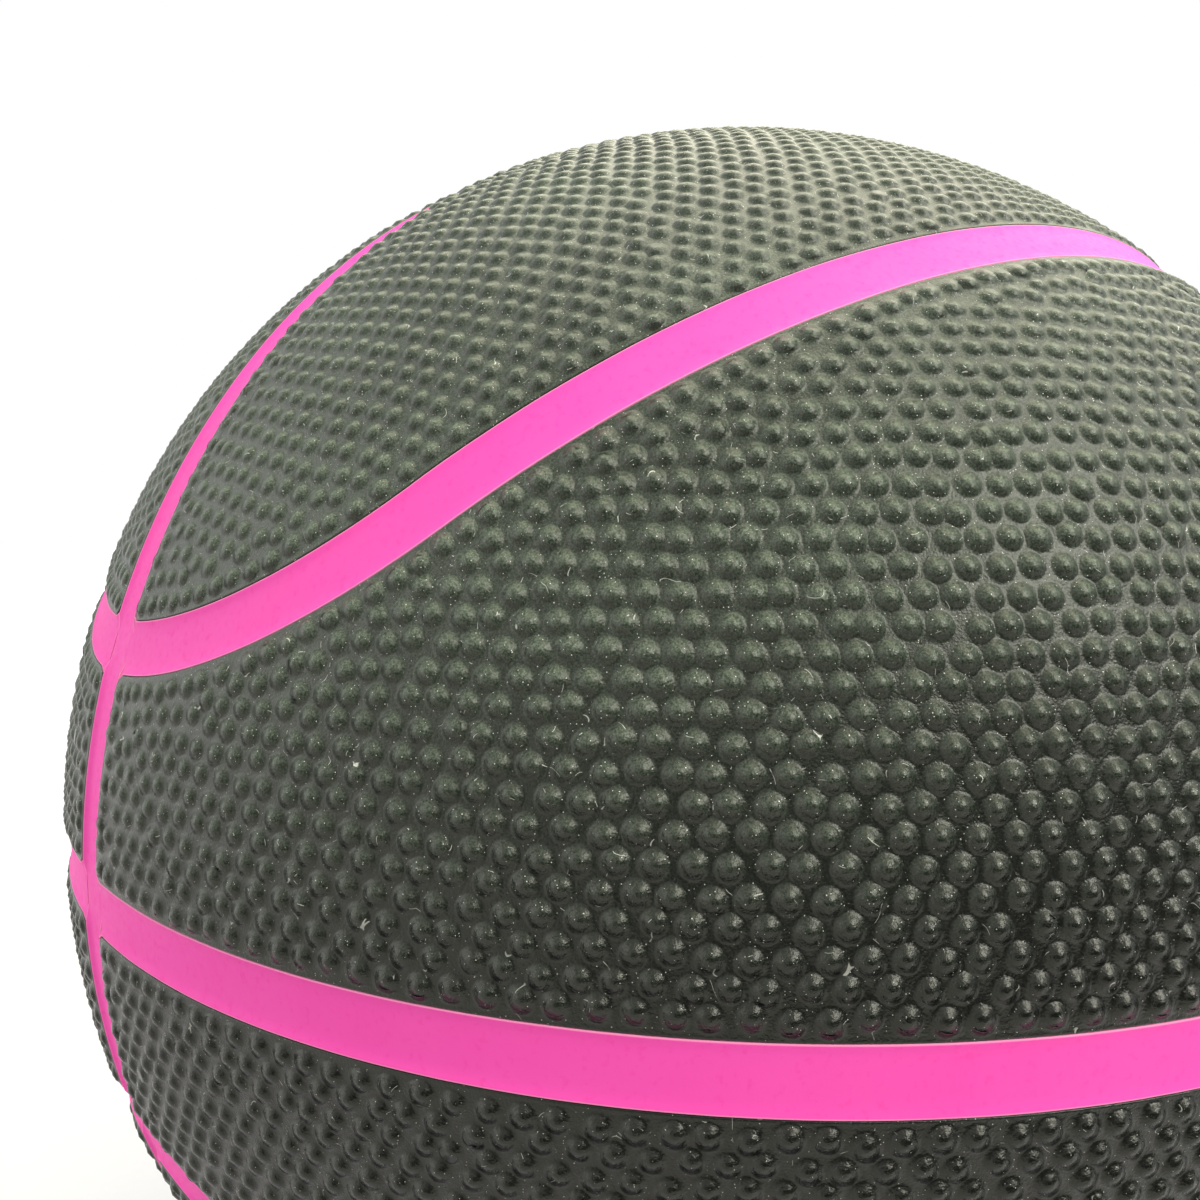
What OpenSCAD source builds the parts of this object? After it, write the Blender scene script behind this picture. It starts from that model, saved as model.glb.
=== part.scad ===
// Rubber basketball: eight pebbled cover panels, inlaid channel strips, carcass, winding, bladder and valve.
// Millimetres. Origin at the centre of the ball, +Z up, -Y to the front.
// The seams are a vertical ring in the plane Y = 0, an equator in the plane Z = 0,
// and a loop round each of +Z and -Z. The ring and the equator cross at the two poles on the X axis.

/* [Ball] */
// Outside diameter of the ball, over the pebble tops
ball_d = 230.5; // [180:0.5:250]

/* [Cover panels] */
// Thickness of the pebbled rubber panels
panel_t = 1.4; // [1:0.1:3]

/* [Channel strips] */
// Width of the channel strips
strip_w = 6.8; // [4:0.1:9]
// Depth of the strips' face below the panel face
channel_depth = 0.6; // [0.4:0.05:0.8]
// Gap between the edges of strips and panels
seam_gap = 0.1; // [0.08:0.01:0.3]

/* [Seam layout] */
// Angle at the poles from the ring seam to the long runs of a loop
loop_tilt = 43.2; // [38:0.1:50]
// Angle from a pole to the centre of a loop's rounded end
loop_corner = 45.5; // [40:0.1:52]

/* [Inner layers] */
// Thickness of the rubber carcass under the cover
carcass_t = 0.7; // [0.4:0.05:2]
// Thickness of the nylon thread winding
winding_t = 0.4; // [0.2:0.05:1]
// Wall of the air bladder
bladder_t = 0.7; // [0.5:0.05:2]
// Glue line between two layers
bond_gap = 0.15; // [0.12:0.01:0.3]

/* [Valve] */
// Outside diameter of the valve stem
stem_d = 11; // [10:0.5:16]
// Depth of the stem's mouth below the ball's outside
stem_drop = 0.4; // [0.3:0.05:1]
// Length of the stem
stem_l = 22; // [16:0.5:30]
// Diameter of the bore that holds the plug
plug_bore_d = 5; // [4:0.1:6]
// Diameter of the counterbore that holds the plug's head
head_bore_d = 7.4; // [6.8:0.1:8.4]
// Depth of the counterbore
head_bore_l = 2.2; // [1.6:0.1:4]
// Radial clearance of the plug in its bores
plug_fit = 0.05; // [0.02:0.01:0.1]
// Thickness of the plug's head
head_t = 1.7; // [1.2:0.1:3]
// Length of the plug under its head
plug_l = 18; // [12:0.5:26]
// Length of the plug's tapered tip
tip_l = 3; // [1:0.5:5]
// Diameter of the plug at the end of its tip
tip_d = 3; // [2:0.1:3.6]
// Diameter of the needle's pilot hole
needle_d = 1.8; // [1.4:0.1:2.4]
// Depth of the needle's pilot hole
needle_l = 8; // [4:0.5:12]
// Diameter of the countersink that leads the needle in
lead_in_d = 3.2; // [2.6:0.1:4]
// Diameter of the flange that bonds the stem to the bladder
flange_d = 28; // [20:1:40]
// Thickness of the flange
flange_t = 1; // [0.6:0.1:2]

/* [Hidden] */
$fn = 96;

rubber_black = "#3b3e38";
rubber_pink = "#f960b4";
rubber_grey = "#55524e";
nylon_white = "#d8d4c8";
butyl_black = "#26262a";
plug_black = "#1d1d1f";

// Layer radii, from the outside in
ball_r = ball_d / 2;
panel_in_r = ball_r - panel_t;
carcass_r = panel_in_r - bond_gap;
carcass_in_r = carcass_r - carcass_t;
winding_r = carcass_in_r - bond_gap;
winding_in_r = winding_r - winding_t;
bladder_r = winding_in_r - bond_gap;
bladder_in_r = bladder_r - bladder_t;
flange_r = bladder_in_r - bond_gap;

// Half widths of the strips and of the channels between the panels, and the radius of the strips' face
strip_half = strip_w / 2;
channel_half = strip_half + seam_gap;
strip_r = ball_r - channel_depth;
cover_mid_r = (ball_r + panel_in_r) / 2;

// Loop seam: long runs through the poles' axis, joined near each pole by an arc about a point on the ring
corner_r = asin(sin(loop_corner) * sin(loop_tilt));
corner_sweep = atan(1 / (tan(loop_tilt) * cos(loop_corner)));

// Reach of the cutting solids, inside and outside the cover
cut_in = 0.7 * ball_r;
cut_out = 1.2 * ball_r;
cut_low = 0.2 * ball_r;
// Length by which a hole is cut past a face
cut_past = 1;
// The rounded ends are this much wider than tangent, so that they cross the long runs instead of just touching
corner_spare = 0.1;

// Valve: in the middle of the lower back band panel
valve_angle = 180 + (90 + loop_tilt) / 2;
stem_mouth = ball_r - stem_drop;
head_seat = stem_mouth - head_bore_l;
stem_hole_d = stem_d + 2 * bond_gap;
plug_d = plug_bore_d - 2 * plug_fit;
head_d = head_bore_d - 2 * plug_fit;
head_top = head_seat + head_t;
lead_in_l = (lead_in_d - needle_d) / 2;

// Mirror copies: side is -1 for front, 1 for back; level is 1 for top, -1 for bottom
module placed(side, level) {
    mirror([0, side < 0 ? 1 : 0, 0])
        mirror([0, 0, level < 0 ? 1 : 0])
            children();
}

// Turn local +Z to the valve's axis
module on_valve_axis() {
    rotate([valve_angle, 0, 0])
        children();
}

module shell(outer_r, inner_r) {
    difference() {
        sphere(r = outer_r);
        sphere(r = inner_r);
    }
}

// Shell of an inner layer with the stem's hole
module holed_shell(outer_r, inner_r) {
    difference() {
        shell(outer_r, inner_r);
        on_valve_axis()
            cylinder(d = stem_hole_d, h = cut_out);
    }
}

// Cone about +Z through the cover
module cover_cone(half_angle) {
    translate([0, 0, cut_in])
        cylinder(r1 = cut_in * tan(half_angle), r2 = cut_out * tan(half_angle), h = cut_out - cut_in);
}

// Everything inside the +Z loop on its +Y side, out to the given distance beyond the seam's centre line
module loop_region(beyond) {
    difference() {
        rotate([90, 0, 90])
            linear_extrude(2 * cut_out, center = true)
                polygon([
                    [0, cut_low],
                    [0, cut_out],
                    [cut_out * tan(loop_tilt) + beyond / cos(loop_tilt), cut_out],
                    [cut_low * tan(loop_tilt) + beyond / cos(loop_tilt), cut_low]
                ]);
        for (end = [0, 1])
            mirror([end, 0, 0])
                rotate([0, 90 - loop_corner, 0])
                    rotate([0, 0, corner_sweep])
                        translate([-cut_out, -2 * cut_out, -cut_out])
                            cube(2 * cut_out);
    }
    for (end = [-1, 1])
        rotate([0, end * (90 - loop_corner), 0])
            cover_cone(corner_r + asin((beyond + corner_spare) / cover_mid_r));
}

// One quarter of a layer, +Y and +Z, up to the ring and equator channels
module quarter(outer_r, inner_r) {
    intersection() {
        shell(outer_r, inner_r);
        translate([-cut_out, channel_half, channel_half])
            cube([2 * cut_out, cut_out, cut_out]);
    }
}

module loop_panel(side, level) {
    color(rubber_black)
        placed(side, level)
            intersection() {
                quarter(ball_r, panel_in_r);
                loop_region(-channel_half);
            }
}

module band_panel(side, level) {
    color(rubber_black)
        placed(side, level)
            difference() {
                quarter(ball_r, panel_in_r);
                loop_region(channel_half);
            }
}

module panel_loop_top_front() { loop_panel(-1, 1); }
module panel_loop_top_back() { loop_panel(1, 1); }
module panel_loop_bottom_front() { loop_panel(-1, -1); }
module panel_loop_bottom_back() { loop_panel(1, -1); }
module panel_band_top_front() { band_panel(-1, 1); }
module panel_band_top_back() { band_panel(1, 1); }
module panel_band_bottom_front() { band_panel(-1, -1); }

// The band panel that the valve comes out through
module panel_band_bottom_back() {
    color(rubber_black)
        difference() {
            band_panel(1, -1);
            on_valve_axis()
                cylinder(d = stem_hole_d, h = cut_out);
        }
}

module strip_ring() {
    color(rubber_pink)
        rotate([90, 0, 0])
            intersection() {
                shell(strip_r, panel_in_r);
                cube([2 * cut_out, 2 * cut_out, strip_w], center = true);
            }
}

// Half of the equator's strip, whose ends butt against the ring strip
module equator_strip(side) {
    color(rubber_pink)
        placed(side, 1)
            intersection() {
                shell(strip_r, panel_in_r);
                translate([-cut_out, channel_half, -strip_half])
                    cube([2 * cut_out, cut_out, strip_w]);
            }
}

module strip_equator_front() { equator_strip(-1); }
module strip_equator_back() { equator_strip(1); }

// Half of a loop's strip, whose ends butt against the ring strip
module loop_strip(side, level) {
    color(rubber_pink)
        placed(side, level)
            difference() {
                intersection() {
                    quarter(strip_r, panel_in_r);
                    loop_region(strip_half);
                }
                loop_region(-strip_half);
            }
}

module strip_loop_top_front() { loop_strip(-1, 1); }
module strip_loop_top_back() { loop_strip(1, 1); }
module strip_loop_bottom_front() { loop_strip(-1, -1); }
module strip_loop_bottom_back() { loop_strip(1, -1); }

module carcass() {
    color(rubber_grey)
        holed_shell(carcass_r, carcass_in_r);
}

module winding() {
    color(nylon_white)
        holed_shell(winding_r, winding_in_r);
}

module bladder() {
    color(butyl_black)
        holed_shell(bladder_r, bladder_in_r);
}

// Stem through the wall, with a flange that lies on the inside of the bladder
module valve_housing() {
    color(plug_black)
        difference() {
            union() {
                on_valve_axis()
                    translate([0, 0, stem_mouth - stem_l])
                        cylinder(d = stem_d, h = stem_l);
                intersection() {
                    shell(flange_r, flange_r - flange_t);
                    on_valve_axis()
                        cylinder(d = flange_d, h = ball_r);
                }
            }
            on_valve_axis() {
                cylinder(d = plug_bore_d, h = cut_out);
                translate([0, 0, head_seat])
                    cylinder(d = head_bore_d, h = cut_out - head_seat);
            }
        }
}

// Plug with its head on the counterbore's seat, a tapered tip and the needle's pilot hole
module valve_plug() {
    color(plug_black)
        on_valve_axis()
            difference() {
                union() {
                    translate([0, 0, head_seat])
                        cylinder(d = head_d, h = head_t);
                    translate([0, 0, head_seat - plug_l + tip_l])
                        cylinder(d = plug_d, h = plug_l - tip_l);
                    translate([0, 0, head_seat - plug_l])
                        cylinder(d1 = tip_d, d2 = plug_d, h = tip_l);
                }
                translate([0, 0, head_top - needle_l])
                    cylinder(d = needle_d, h = needle_l + cut_past);
                translate([0, 0, head_top - lead_in_l])
                    cylinder(d1 = needle_d, d2 = lead_in_d, h = lead_in_l);
            }
}

panel_loop_top_front();
panel_loop_top_back();
panel_loop_bottom_front();
panel_loop_bottom_back();
panel_band_top_front();
panel_band_top_back();
panel_band_bottom_front();
panel_band_bottom_back();
strip_ring();
strip_equator_front();
strip_equator_back();
strip_loop_top_front();
strip_loop_top_back();
strip_loop_bottom_front();
strip_loop_bottom_back();
carcass();
winding();
bladder();
valve_housing();
valve_plug();
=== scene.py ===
import math

import bpy
import numpy as np
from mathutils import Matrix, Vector
from mathutils.geometry import delaunay_2d_cdt


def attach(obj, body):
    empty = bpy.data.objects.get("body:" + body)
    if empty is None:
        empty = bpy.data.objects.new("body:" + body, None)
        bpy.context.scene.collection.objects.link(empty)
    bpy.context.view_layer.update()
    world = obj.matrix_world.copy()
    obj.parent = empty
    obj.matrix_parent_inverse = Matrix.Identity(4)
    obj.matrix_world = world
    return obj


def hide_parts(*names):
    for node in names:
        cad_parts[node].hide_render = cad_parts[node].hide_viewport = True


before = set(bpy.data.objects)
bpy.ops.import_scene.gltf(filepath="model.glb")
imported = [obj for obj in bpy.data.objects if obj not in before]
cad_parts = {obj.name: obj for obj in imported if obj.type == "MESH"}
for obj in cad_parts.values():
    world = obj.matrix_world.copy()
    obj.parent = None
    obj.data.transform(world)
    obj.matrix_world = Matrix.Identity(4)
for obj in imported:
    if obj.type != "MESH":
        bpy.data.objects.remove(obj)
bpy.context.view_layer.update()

# Sizes of the ball in millimetres, as in the CAD model
MM = 0.001
BALL_R = 115.25
COVER_IN_R = 113.85
STRIP_HALF = 3.4
SEAM_GAP = 0.1
CHANNEL_HALF = STRIP_HALF + SEAM_GAP
STEM_HOLE_R = 5.65
LOOP_TILT = math.radians(43.2)
LOOP_CORNER = math.radians(45.5)
VALVE_TILT = math.radians(66.6)

# Rounded end of a loop: angular radius, how far it turns, and where it meets the long run
CORNER_R = math.asin(math.sin(LOOP_CORNER) * math.sin(LOOP_TILT))
CORNER_SWEEP = math.atan(1 / (math.tan(LOOP_TILT) * math.cos(LOOP_CORNER)))
RUN_START = math.atan(math.tan(LOOP_CORNER) * math.cos(LOOP_TILT))

# Moulded cover: pebbles (0.08 mm further apart than real, to keep the meshes light), margins and corners
PEBBLE_PITCH = 3.18
PEBBLE_R = 1.49
PEBBLE_H = 0.55
GROUND_R = BALL_R - PEBBLE_H
SMALLEST = 0.93
LARGEST = 1.03
FIRST_ROW = 2.0
MARGIN = 0.3
PANEL_CORNER = 0.7

# Mesh of a pebble: its upper ring, its reach to its neighbours, its shading, and what counts as one point
CAP_RING = 0.7
FOOT_ROOM = 1.2
SIDE_STEEP = 1.1
FOOT_SOFT = 0.6
MIDDLE_REACH = 0.35
WELD = 0.004

# Laying out a panel: steps along its edge, how pebbles push apart, and how uneven their rows are
EDGE_SPACING = 1.6
TRACE_STEP = 1.0
START_TURN = 0.04
PROBE = 0.02
RELAX_ROUNDS = 36
NEIGHBOURS = 13
PUSH_REACH = 1.12
PUSH_SHARE = 0.2
EDGE_REACH = 0.45
EDGE_PULL = 0.15
ROW_SLACK = 0.07
FIRST_JITTER = 0.16
PEBBLE_JITTER = 0.05

# Panel edge from the margin to the channel: outward distance and height over the ground
EDGE_PROFILE = (
    (0.12, 0.01),
    (0.21, -0.02),
    (0.27, -0.08),
    (0.30, -0.20),
)

# Strip section from the middle to the rim: distance out and height over the ground
STRIP_SECTION = (
    (0.00, -0.54),
    (1.00, -0.53),
    (1.80, -0.50),
    (2.35, -0.44),
    (2.75, -0.34),
    (3.06, -0.20),
    (3.28, -0.08),
    (3.42, -0.05),
    (3.48, -0.14),
)
RING_DEPTH = 0.12
STRIP_FLAT = 0.45
DISH_SPAN = (5, 80)
STRIP_WOBBLE = 0.08
WOBBLE_SIZE = 12
RIM_START = 0.7
RIM_HALF = STRIP_SECTION[-1][0]
STRIP_UNDER = COVER_IN_R + 0.02 - GROUND_R
PATH_STEP = 1.2

# Finish of the cover: how the domes lean out to their feet, where dust and painted shade lie and how thick,
# paler high on the ball, the skin's grain
DOME_LEAN = 1.45
DOME_BEND = 0.56
DOME_FOOT = 1.13
PALE_WAY = (-0.12, 0.1, 1.0)
PALE_RISE = 52
FILM_MOST = 0.68
VALLEY_FROM = 0.4
VALLEY_TO = 1.3
THIN_FROM = 30
THIN_TO = 110
GRAIN_SIZE = 0.25
GRAIN_DEPTH = 0.07

# Blender's wave texture repeats every tenth of pi at scale one
WAVE_PERIOD = math.pi / 10

# Dark card in front: how far off, which way, half width and top edge, in metres and radians
CARD_AWAY = 0.42
CARD_TURN = math.radians(-104.5)
CARD_HALF = 0.5
CARD_TOP = 0.13


def linear(code):
    """sRGB hex colour as linear red, green, blue and alpha."""
    parts = [int(code[i:i + 2], 16) / 255 for i in (1, 3, 5)]
    return tuple(c / 12.92 if c <= 0.04045 else ((c + 0.055) / 1.055) ** 2.4 for c in parts) + (1.0,)


def per_metre(size_mm):
    """Texture scale at which one feature is about the given size."""
    return 1000 / size_mm


def add(tree, kind, inputs=None, **settings):
    """Adds one node, sets its properties, and links or sets its inputs by name or number."""
    node = tree.nodes.new(kind)
    for key, value in settings.items():
        setattr(node, key, value)
    for key, value in (inputs or {}).items():
        for source in value if isinstance(value, list) else [value]:
            if isinstance(source, bpy.types.NodeSocket):
                tree.links.new(source, node.inputs[key])
            else:
                node.inputs[key].default_value = source
    return node


def new_material(name):
    """Empty material; returns it with its tree and the place on the object."""
    material = bpy.data.materials.new(name)
    material.use_nodes = True
    tree = material.node_tree
    tree.nodes.clear()
    return material, tree, add(tree, "ShaderNodeTexCoord").outputs["Object"]


def finish_material(tree, inputs):
    """Closes a material: its output and a Principled shader with the given inputs."""
    skin = add(tree, "ShaderNodeBsdfPrincipled", inputs)
    add(tree, "ShaderNodeOutputMaterial", {"Surface": skin.outputs[0]})


def store(mesh, name, values):
    """Keeps one number or one vector for each point of a mesh."""
    kind, field = ("FLOAT_VECTOR", "vector") if np.ndim(values) == 2 else ("FLOAT", "value")
    mesh.attributes.new(name, kind, "POINT").data.foreach_set(field, np.ravel(values))


# Materials


def moulded_black_rubber():
    """Hot-moulded black rubber: satin round domes, thin green-grey dust with painted shade on the domes'
    undersides, darker low on the ball, pale specks and short lint.
    """
    material, tree, place = new_material("moulded_black_rubber")

    # Domes: the ground's facing leaned away from each pebble's middle, level again past its foot
    ground = add(tree, "ShaderNodeAttribute", attribute_name="ground_normal").outputs["Vector"]
    way = add(tree, "ShaderNodeAttribute", attribute_name="dome_way").outputs["Vector"]
    off = add(tree, "ShaderNodeVectorMath", {0: way}, operation="LENGTH").outputs["Value"]
    lean = add(
        tree, "ShaderNodeMapRange", {0: off, 1: DOME_BEND, 2: DOME_FOOT, 3: DOME_LEAN, 4: 0.0},
        interpolation_type="SMOOTHSTEP",
    ).outputs[0]
    side = add(tree, "ShaderNodeVectorMath", {0: way, "Scale": lean}, operation="SCALE").outputs[0]
    leaned = add(tree, "ShaderNodeVectorMath", {0: ground, 1: side}, operation="ADD").outputs[0]
    dome = add(tree, "ShaderNodeVectorMath", {0: leaned}, operation="NORMALIZE").outputs[0]
    facing = add(
        tree, "ShaderNodeVectorTransform", {0: dome},
        vector_type="NORMAL", convert_from="OBJECT", convert_to="WORLD",
    ).outputs[0]

    # Dust and painted shade: dust most where the rubber faces up, so the undersides of the domes get
    # painted shade; paler high on the ball and darker towards the bottom; the ground between domes darker
    # low down; patchy, its grains coarser than real
    up = add(tree, "ShaderNodeSeparateXYZ", {0: dome}).outputs["Z"]
    # Painted shade: faces that point down get less dust and render darker, shading the undersides of the
    # domes
    dust_and_shade_by_facing = add(
        tree, "ShaderNodeMapRange", {0: up, 1: -1.0, 2: 1.0, 3: 0.1, 4: 1.0},
        interpolation_type="SMOOTHSTEP",
    ).outputs[0]
    along = add(
        tree, "ShaderNodeVectorMath", {0: place, 1: PALE_WAY}, operation="DOT_PRODUCT",
    ).outputs["Value"]
    # Darker towards the bottom of the ball, paler high up
    high = add(
        tree, "ShaderNodeMapRange", {0: along, 1: 0.0, 2: PALE_RISE * MM, 3: 0.05, 4: 1.0},
        interpolation_type="SMOOTHSTEP",
    ).outputs[0]
    valley = add(
        tree, "ShaderNodeMapRange", {0: off, 1: VALLEY_FROM, 2: VALLEY_TO, 3: 0.0, 4: 1.0},
        interpolation_type="SMOOTHSTEP",
    ).outputs[0]
    thin = add(
        tree, "ShaderNodeMapRange", {0: along, 1: THIN_FROM * MM, 2: THIN_TO * MM, 3: 0.3, 4: 1.0},
    ).outputs[0]
    spread = add(tree, "ShaderNodeMix", {0: valley, 2: 1.0, 3: thin}, data_type="FLOAT").outputs[0]
    sifted_dust_and_shade = add(tree, "ShaderNodeMath", {0: dust_and_shade_by_facing, 1: spread}, operation="MULTIPLY").outputs[0]
    settled_dust_and_shade = add(tree, "ShaderNodeMath", {0: sifted_dust_and_shade, 1: high}, operation="MULTIPLY").outputs[0]
    cloud = add(
        tree, "ShaderNodeTexNoise", {"Vector": place, "Scale": per_metre(22), "Detail": 4.0},
    ).outputs[0]
    patchy = add(tree, "ShaderNodeMapRange", {0: cloud, 1: 0.3, 2: 0.7, 3: 0.7, 4: 1.15}).outputs[0]
    amount = add(tree, "ShaderNodeMath", {0: settled_dust_and_shade, 1: patchy}, operation="MULTIPLY").outputs[0]
    powder = add(
        tree, "ShaderNodeTexNoise",
        {"Vector": place, "Scale": per_metre(0.2), "Detail": 3.0, "Roughness": 0.7},
    ).outputs[0]
    grains = add(
        tree, "ShaderNodeMapRange", {0: powder, 1: 0.42, 2: 0.66, 3: 0.2 * FILM_MOST, 4: FILM_MOST},
    ).outputs[0]
    film = add(tree, "ShaderNodeMath", {0: amount, 1: grains}, operation="MULTIPLY").outputs[0]
    # Colour of the dust, darkened into painted shade on the domes' undersides
    dust_and_shade_colour = add(
        tree, "ShaderNodeMix", {0: film, 6: linear("#090a09"), 7: linear("#86987f")}, data_type="RGBA",
    ).outputs[2]

    # Specks of mixed size, drawn a little coarser than real dust so that they show
    speck = add(tree, "ShaderNodeTexVoronoi", {"Vector": place, "Scale": per_metre(0.32)})
    kind = add(tree, "ShaderNodeSeparateColor", {0: speck.outputs["Color"]}).outputs[0]
    size = add(tree, "ShaderNodeMapRange", {0: kind, 1: 0.45, 2: 1.0, 3: 0.0, 4: 0.2}).outputs[0]
    inside = add(
        tree, "ShaderNodeMath", {0: size, 1: speck.outputs["Distance"]}, operation="SUBTRACT",
    ).outputs[0]
    specks = add(tree, "ShaderNodeMapRange", {0: inside, 1: 0.0, 2: 0.03, 3: 0.0, 4: 0.9}).outputs[0]

    # Lint: short bits of thin wandering lines
    wander = add(
        tree, "ShaderNodeTexNoise", {"Vector": place, "Scale": per_metre(2.5), "Detail": 0.0},
    ).outputs[0]
    beside = add(tree, "ShaderNodeMath", {0: wander, 1: 0.5}, operation="SUBTRACT").outputs[0]
    astray = add(tree, "ShaderNodeMath", {0: beside}, operation="ABSOLUTE").outputs[0]
    thread = add(tree, "ShaderNodeMapRange", {0: astray, 1: 0.003, 2: 0.008, 3: 1.0, 4: 0.0}).outputs[0]
    patch = add(
        tree, "ShaderNodeTexNoise", {"Vector": place, "Scale": per_metre(1.5), "Detail": 1.0},
    ).outputs[0]
    short = add(tree, "ShaderNodeMapRange", {0: patch, 1: 0.65, 2: 0.68, 3: 0.0, 4: 0.7}).outputs[0]
    lint = add(tree, "ShaderNodeMath", {0: thread, 1: short}, operation="MULTIPLY").outputs[0]
    litter = add(tree, "ShaderNodeMath", {0: lint, 1: specks}, operation="MAXIMUM").outputs[0]
    held = add(tree, "ShaderNodeMapRange", {0: settled_dust_and_shade, 1: 0.0, 2: 0.4, 3: 0.5, 4: 1.0}).outputs[0]
    stuck = add(tree, "ShaderNodeMath", {0: litter, 1: held}, operation="MULTIPLY").outputs[0]
    # Base colour: dust with painted shade under the domes, then specks and lint
    dusty_and_shaded = add(
        tree, "ShaderNodeMix", {0: stuck, 6: dust_and_shade_colour, 7: linear("#ecedde")}, data_type="RGBA",
    ).outputs[2]

    # Gloss: worn smooth on the domes, duller under dust and down in the valleys
    worn = add(tree, "ShaderNodeMapRange", {0: film, 1: 0.0, 2: FILM_MOST, 3: 0.25, 4: 0.52}).outputs[0]
    dull = add(tree, "ShaderNodeMath", {0: valley, 1: 0.06}, operation="MULTIPLY").outputs[0]
    rough = add(tree, "ShaderNodeMath", {0: worn, 1: dull}, operation="ADD").outputs[0]
    grain = add(
        tree, "ShaderNodeTexNoise", {"Vector": place, "Scale": per_metre(GRAIN_SIZE), "Detail": 3.0},
    ).outputs[0]
    bump = add(
        tree, "ShaderNodeBump",
        {"Height": grain, "Strength": 1.0, "Distance": GRAIN_DEPTH * MM, "Normal": facing},
    ).outputs[0]
    finish_material(tree, {
        "Base Color": dusty_and_shaded, "Roughness": rough, "Normal": bump,
        "IOR": 1.5, "Specular IOR Level": 0.42, "Specular Tint": linear("#fbfbec"),
    })
    return material


def moulded_pink_rubber():
    """Bright pink inlay rubber: dull satin, faintly mottled, with a painted highlight along its moulded
    rims.
    """
    material, tree, place = new_material("moulded_pink_rubber")
    cloud = add(
        tree, "ShaderNodeTexNoise", {"Vector": place, "Scale": per_metre(9), "Detail": 5.0},
    ).outputs[0]
    shade = add(
        tree, "ShaderNodeMix", {0: cloud, 6: linear("#fe4eb3"), 7: linear("#ff5aba")}, data_type="RGBA",
    ).outputs[2]
    mottle = add(
        tree, "ShaderNodeTexNoise", {"Vector": place, "Scale": per_metre(0.8), "Detail": 3.0},
    ).outputs[0]
    spots = add(tree, "ShaderNodeMapRange", {0: mottle, 1: 0.58, 2: 0.72, 3: 0.0, 4: 0.35}).outputs[0]
    mottled = add(
        tree, "ShaderNodeMix", {0: spots, 6: shade, 7: linear("#f83aa0")}, data_type="RGBA",
    ).outputs[2]
    # Painted highlight: a pale line along both rims of the strip
    across = add(tree, "ShaderNodeAttribute", attribute_name="across").outputs["Fac"]
    off = add(tree, "ShaderNodeMath", {0: across}, operation="ABSOLUTE").outputs[0]
    rim = add(tree, "ShaderNodeMapRange", {0: off, 1: 0.94, 2: 0.975, 3: 0.0, 4: 0.75}).outputs[0]
    pink_with_painted_rim_highlight = add(
        tree, "ShaderNodeMix", {0: rim, 6: mottled, 7: linear("#ffa6c4")}, data_type="RGBA",
    ).outputs[2]
    rough = add(tree, "ShaderNodeMapRange", {0: mottle, 1: 0.3, 2: 0.7, 3: 0.52, 4: 0.66}).outputs[0]
    bump = add(
        tree, "ShaderNodeBump", {"Height": mottle, "Strength": 0.4, "Distance": 0.04 * MM},
    ).outputs[0]
    finish_material(tree, {
        "Base Color": pink_with_painted_rim_highlight, "Roughness": rough, "Normal": bump,
        "IOR": 1.5, "Specular IOR Level": 0.25,
    })
    return material


def plain_layer(name, dark, pale, cloud_mm, grain_mm, rough_low, rough_high):
    """Plain rubber layer: two close colours in soft clouds, a fine grain in its gloss and skin."""
    material, tree, place = new_material(name)
    cloud = add(
        tree, "ShaderNodeTexNoise", {"Vector": place, "Scale": per_metre(cloud_mm), "Detail": 4.0},
    ).outputs[0]
    shade = add(
        tree, "ShaderNodeMix", {0: cloud, 6: linear(dark), 7: linear(pale)}, data_type="RGBA",
    ).outputs[2]
    grain = add(
        tree, "ShaderNodeTexNoise", {"Vector": place, "Scale": per_metre(grain_mm), "Detail": 3.0},
    ).outputs[0]
    rough = add(
        tree, "ShaderNodeMapRange", {0: grain, 1: 0.3, 2: 0.7, 3: rough_low, 4: rough_high},
    ).outputs[0]
    bump = add(tree, "ShaderNodeBump", {"Height": grain, "Strength": 0.4, "Distance": 0.04 * MM}).outputs[0]
    finish_material(tree, {"Base Color": shade, "Roughness": rough, "Normal": bump})
    return material


def wound_nylon():
    """Nylon thread wound round the bladder: off-white ridges that cross at many angles, slightly shiny."""
    material, tree, place = new_material("wound_nylon_thread")
    ridges = None
    for turn in ((0.0, 0.0, 0.3), (1.0, 0.0, 1.2), (0.4, 0.9, 2.2)):
        laid = add(tree, "ShaderNodeMapping", {"Vector": place, "Rotation": turn}).outputs[0]
        band = add(
            tree, "ShaderNodeTexWave", {"Vector": laid, "Scale": per_metre(0.6) * WAVE_PERIOD},
        ).outputs[1]
        if ridges is not None:
            band = add(tree, "ShaderNodeMath", {0: ridges, 1: band}, operation="MAXIMUM").outputs[0]
        ridges = band
    shade = add(
        tree, "ShaderNodeMix", {0: ridges, 6: linear("#8f8a7c"), 7: linear("#e4dfd0")}, data_type="RGBA",
    ).outputs[2]
    bump = add(tree, "ShaderNodeBump", {"Height": ridges, "Strength": 0.6, "Distance": 0.2 * MM}).outputs[0]
    finish_material(tree, {"Base Color": shade, "Roughness": 0.45, "Normal": bump})
    return material


# Layout of the seams on the ball, for the quarter with Y and Z positive


def unit(v):
    return v / np.maximum(np.linalg.norm(v, axis=-1, keepdims=True), 1e-12)


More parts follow.
